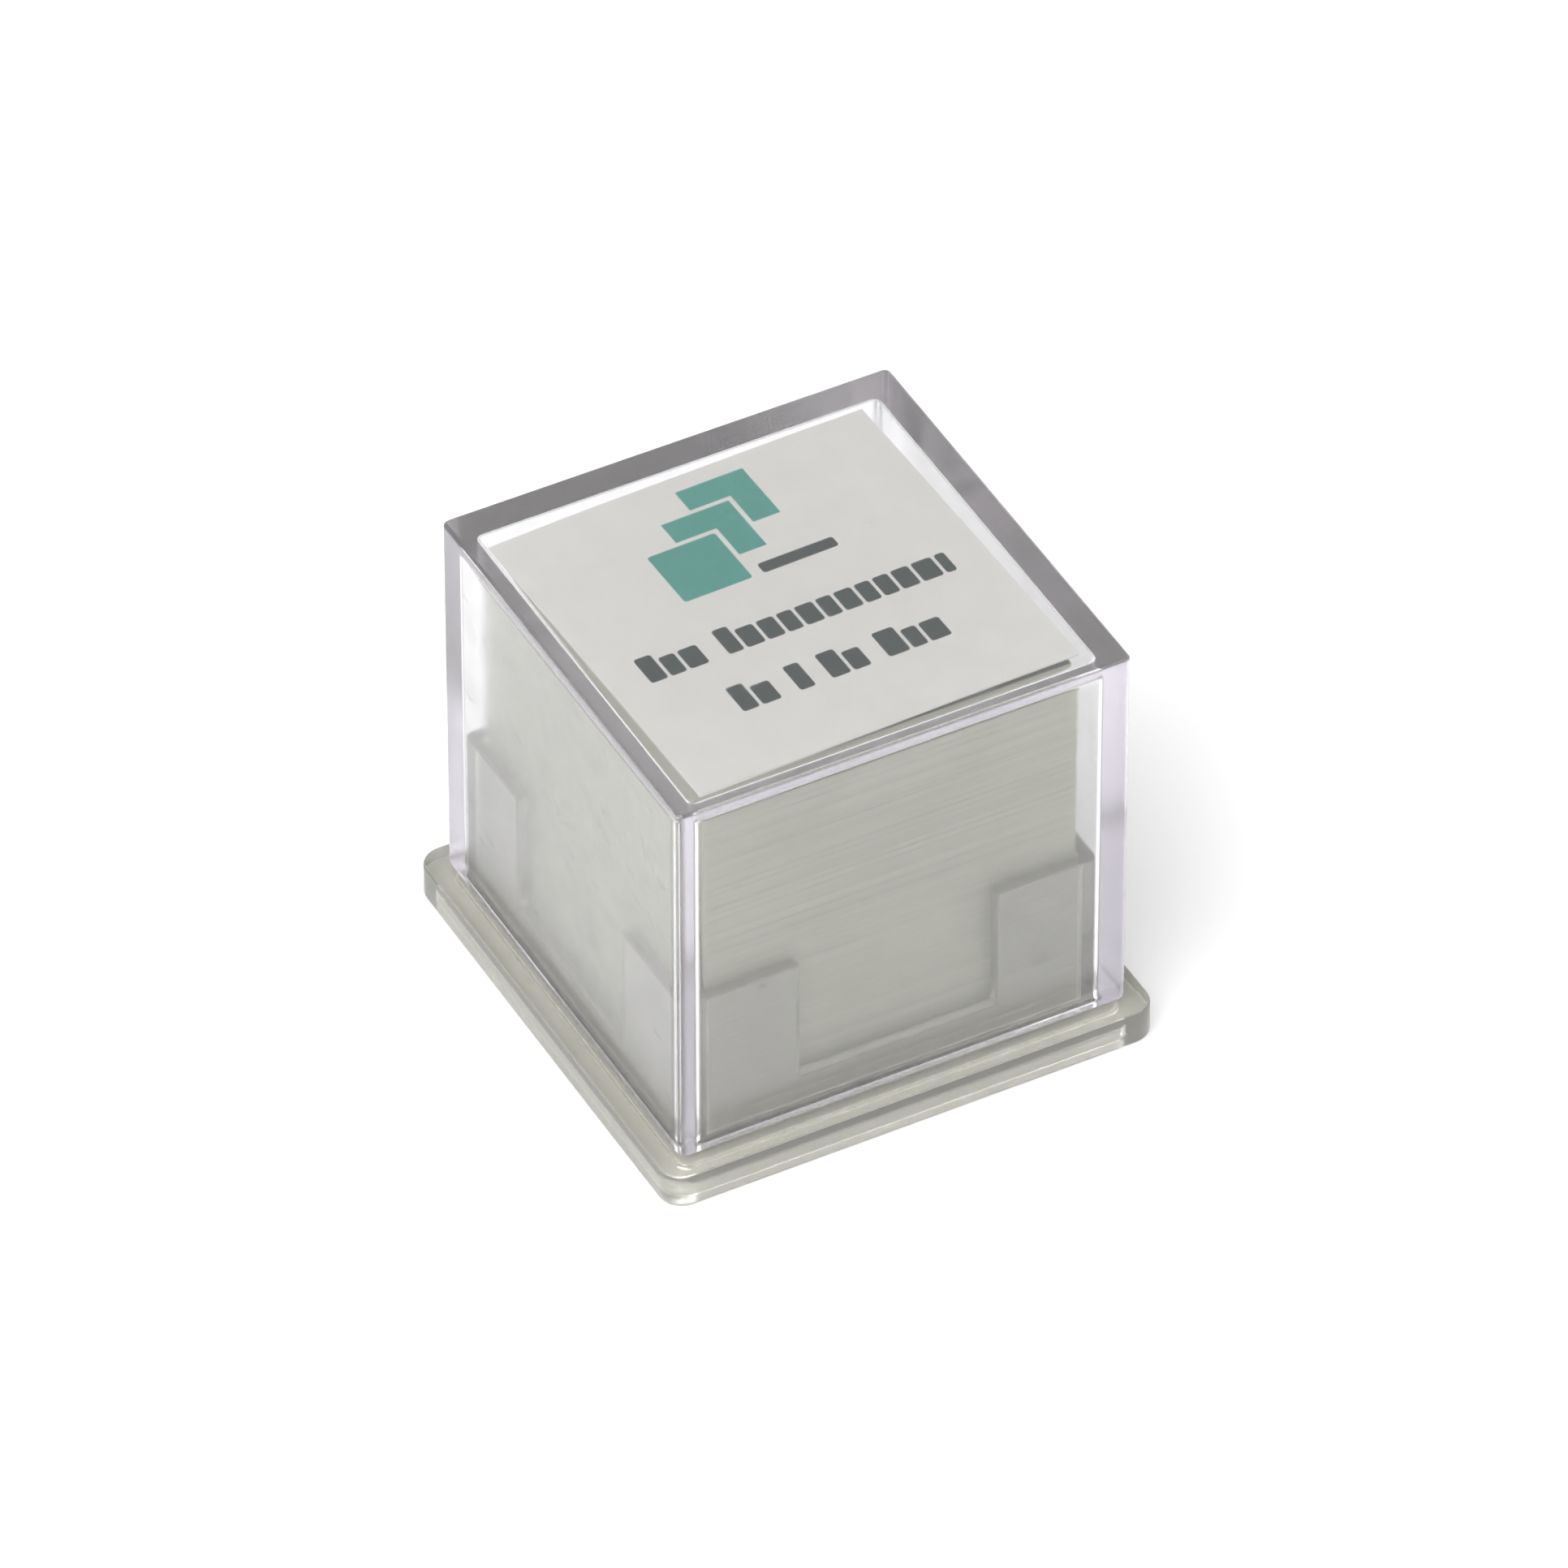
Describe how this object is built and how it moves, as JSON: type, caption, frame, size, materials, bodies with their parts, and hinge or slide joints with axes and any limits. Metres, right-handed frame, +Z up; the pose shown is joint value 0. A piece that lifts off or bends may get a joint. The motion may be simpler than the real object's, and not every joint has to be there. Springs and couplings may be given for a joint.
{
  "type": "cover glass box",
  "caption": "Clear plastic box with a lift-off lid over a notched tray, filled with a stack of square microscope cover glasses under a printed card.",
  "frame": {"origin": "centre of the box's footprint, on the flat underside of the base rim that it stands on", "axes": "+Z up out of the lid, -Y towards the reader of the label, +X to the reader's right"},
  "size_m": [0.024, 0.024, 0.0213],
  "materials": {
    "clear_plastic": "polished clear polystyrene, slightly grey in thick section",
    "label_paper": "matt off-white card with a green print",
    "cover_glass": "clear thin glass with cut edges, grey-green when stacked"
  },
  "bodies": {
    "base": {"base_tray": "clear_plastic"},
    "stack": {"glass_pack_1": "cover_glass", "glass_pack_2": "cover_glass", "glass_pack_3": "cover_glass", "glass_pack_4": "cover_glass", "glass_pack_5": "cover_glass", "cover_glass_051": "cover_glass", "cover_glass_052": "cover_glass", "cover_glass_053": "cover_glass", "cover_glass_054": "cover_glass", "cover_glass_055": "cover_glass", "cover_glass_056": "cover_glass", "cover_glass_057": "cover_glass", "cover_glass_058": "cover_glass", "cover_glass_059": "cover_glass", "cover_glass_060": "cover_glass", "cover_glass_061": "cover_glass", "cover_glass_062": "cover_glass", "cover_glass_063": "cover_glass", "cover_glass_064": "cover_glass", "cover_glass_065": "cover_glass", "cover_glass_066": "cover_glass", "cover_glass_067": "cover_glass", "cover_glass_068": "cover_glass", "cover_glass_069": "cover_glass", "cover_glass_070": "cover_glass", "cover_glass_071": "cover_glass", "cover_glass_072": "cover_glass", "cover_glass_073": "cover_glass", "cover_glass_074": "cover_glass", "cover_glass_075": "cover_glass", "cover_glass_076": "cover_glass", "cover_glass_077": "cover_glass", "cover_glass_078": "cover_glass", "cover_glass_079": "cover_glass", "cover_glass_080": "cover_glass", "cover_glass_081": "cover_glass", "cover_glass_082": "cover_glass", "cover_glass_083": "cover_glass", "cover_glass_084": "cover_glass", "cover_glass_085": "cover_glass", "cover_glass_086": "cover_glass", "cover_glass_087": "cover_glass", "cover_glass_088": "cover_glass", "cover_glass_089": "cover_glass", "cover_glass_090": "cover_glass", "cover_glass_091": "cover_glass", "cover_glass_092": "cover_glass", "cover_glass_093": "cover_glass", "cover_glass_094": "cover_glass", "cover_glass_095": "cover_glass", "cover_glass_096": "cover_glass", "cover_glass_097": "cover_glass", "cover_glass_098": "cover_glass", "cover_glass_099": "cover_glass"},
    "top_glass": {"cover_glass_100": "cover_glass"},
    "lid": {"lid": "clear_plastic", "label_card": "label_paper"}
  },
  "joints": [
    {"name": "lid_lift", "type": "slide", "parent": "base", "child": "lid", "axis": [0, 0, 1], "range_m": [0, 0.06]},
    {"name": "stack_lift", "type": "slide", "parent": "base", "child": "stack", "axis": [0, 0, 1], "range_m": [0, 0.015]},
    {"name": "top_glass_lift", "type": "slide", "parent": "stack", "child": "top_glass", "axis": [0, 0, 1], "range_m": [0, 0.021]}
  ],
  "couplings": [
    {"joint": "stack_lift", "follows": "lid_lift", "ratio": 0.25},
    {"joint": "top_glass_lift", "follows": "lid_lift", "ratio": 0.35}
  ]
}
